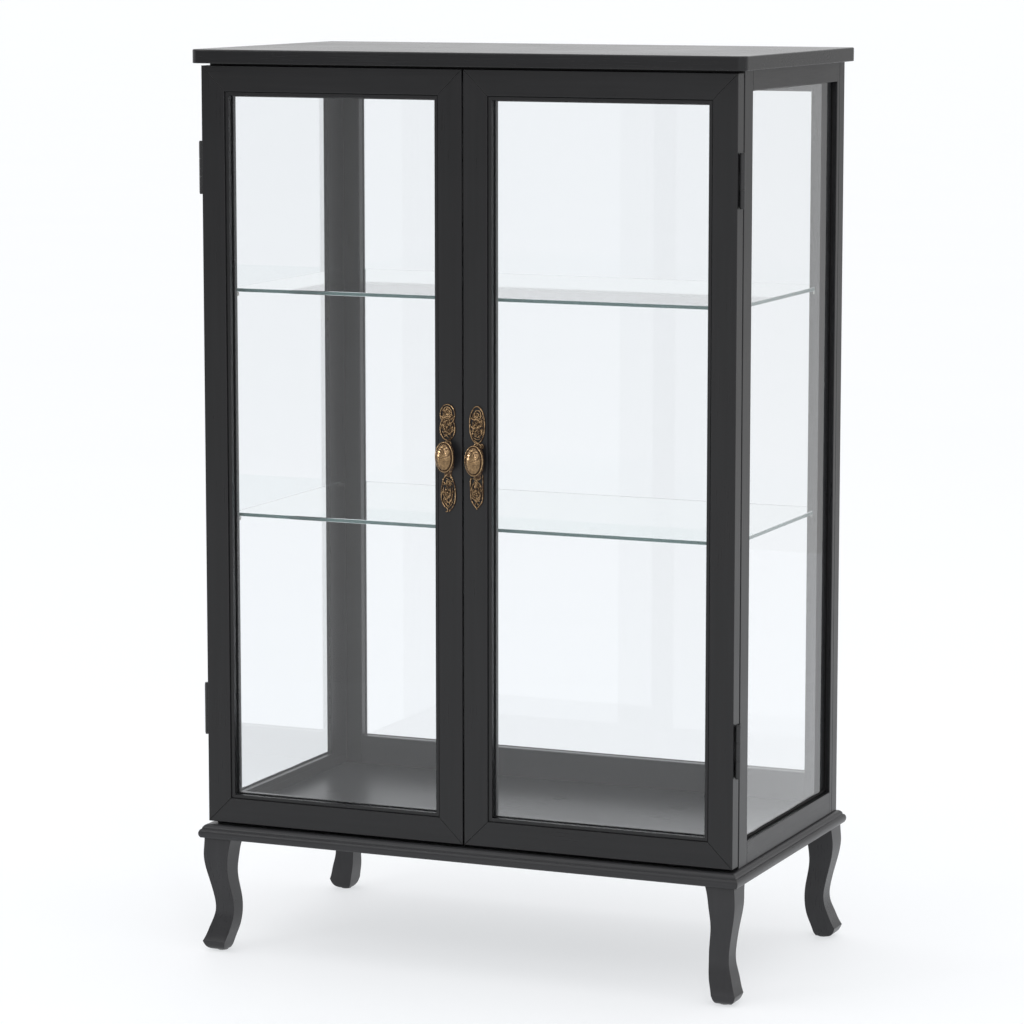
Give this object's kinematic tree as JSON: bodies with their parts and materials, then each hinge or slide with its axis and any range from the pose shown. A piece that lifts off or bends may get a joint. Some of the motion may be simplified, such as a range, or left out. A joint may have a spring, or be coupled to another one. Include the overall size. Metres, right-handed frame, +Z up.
{
  "type": "glazed china cabinet",
  "caption": "Free-standing display cabinet with hinged glazed doors, glazed sides and back, glass shelves on pins, a moulded base and cabriole legs.",
  "frame": {"origin": "on the floor, under the middle of the whole outline, door knobs included", "axes": "+Z up along the cabinet's height, -Y towards the viewer who faces the doors, +X to that viewer's right"},
  "size_m": [0.65, 0.373, 1.018],
  "materials": {
    "painted_wood": "satin charcoal black paint over wood, faint grain and brush texture",
    "pane_glass": "clear float glass",
    "shelf_glass": "clear glass shelf, green at its ground edges",
    "antique_brass": "antiqued brass, dark in the hollows and rubbed bright on the ridges",
    "hinge_metal": "black painted steel",
    "screw_steel": "blackened steel screws",
    "pin_metal": "nickel plated shelf pins",
    "strike_steel": "zinc plated strike plates",
    "catch_plastic": "black plastic catch bodies with steel poles",
    "glide_plastic": "nailed plastic glides"
  },
  "bodies": {
    "carcass": {"back_bottom_rail": "painted_wood", "back_glass": "pane_glass", "back_left_stile": "painted_wood", "back_right_stile": "painted_wood", "back_top_rail": "painted_wood", "carcass_glass_beads": "painted_wood", "floor_panel": "painted_wood", "foot_glides": "glide_plastic", "hinge_frame_leaves": "hinge_metal", "hinge_frame_screws": "screw_steel", "hinge_pins": "hinge_metal", "inner_top_panel": "painted_wood", "left_side_bottom_rail": "painted_wood", "left_side_front_stile": "painted_wood", "left_side_glass": "pane_glass", "left_side_rear_stile": "painted_wood", "left_side_top_rail": "painted_wood", "leg_back_left": "painted_wood", "leg_back_right": "painted_wood", "leg_front_left": "painted_wood", "leg_front_right": "painted_wood", "lower_shelf": "shelf_glass", "magnetic_catches": "catch_plastic", "moulding_back": "painted_wood", "moulding_front": "painted_wood", "moulding_left": "painted_wood", "moulding_right": "painted_wood", "rear_battens": "painted_wood", "right_side_bottom_rail": "painted_wood", "right_side_front_stile": "painted_wood", "right_side_glass": "pane_glass", "right_side_rear_stile": "painted_wood", "right_side_top_rail": "painted_wood", "shelf_pins": "pin_metal", "top_panel": "painted_wood", "upper_shelf": "shelf_glass"},
    "left_door": {"left_door_bottom_rail": "painted_wood", "left_door_glass": "pane_glass", "left_door_glass_beads": "painted_wood", "left_door_handle_plate": "antique_brass", "left_door_hinge_leaves": "hinge_metal", "left_door_hinge_screws": "screw_steel", "left_door_hinge_stile": "painted_wood", "left_door_knob": "antique_brass", "left_door_knob_screw": "screw_steel", "left_door_meeting_stile": "painted_wood", "left_door_strike_plate": "strike_steel", "left_door_top_rail": "painted_wood"},
    "right_door": {"right_door_bottom_rail": "painted_wood", "right_door_glass": "pane_glass", "right_door_glass_beads": "painted_wood", "right_door_handle_plate": "antique_brass", "right_door_hinge_leaves": "hinge_metal", "right_door_hinge_screws": "screw_steel", "right_door_hinge_stile": "painted_wood", "right_door_knob": "antique_brass", "right_door_knob_screw": "screw_steel", "right_door_meeting_stile": "painted_wood", "right_door_strike_plate": "strike_steel", "right_door_top_rail": "painted_wood"}
  },
  "joints": [
    {"name": "left_door_hinge", "type": "hinge", "parent": "carcass", "child": "left_door", "pos_m": [-0.318, -0.1647, 0.583], "axis": [0, 0, -1], "range_deg": [0, 110]},
    {"name": "right_door_hinge", "type": "hinge", "parent": "carcass", "child": "right_door", "pos_m": [0.318, -0.1647, 0.583], "axis": [0, 0, 1], "range_deg": [0, 110]}
  ]
}
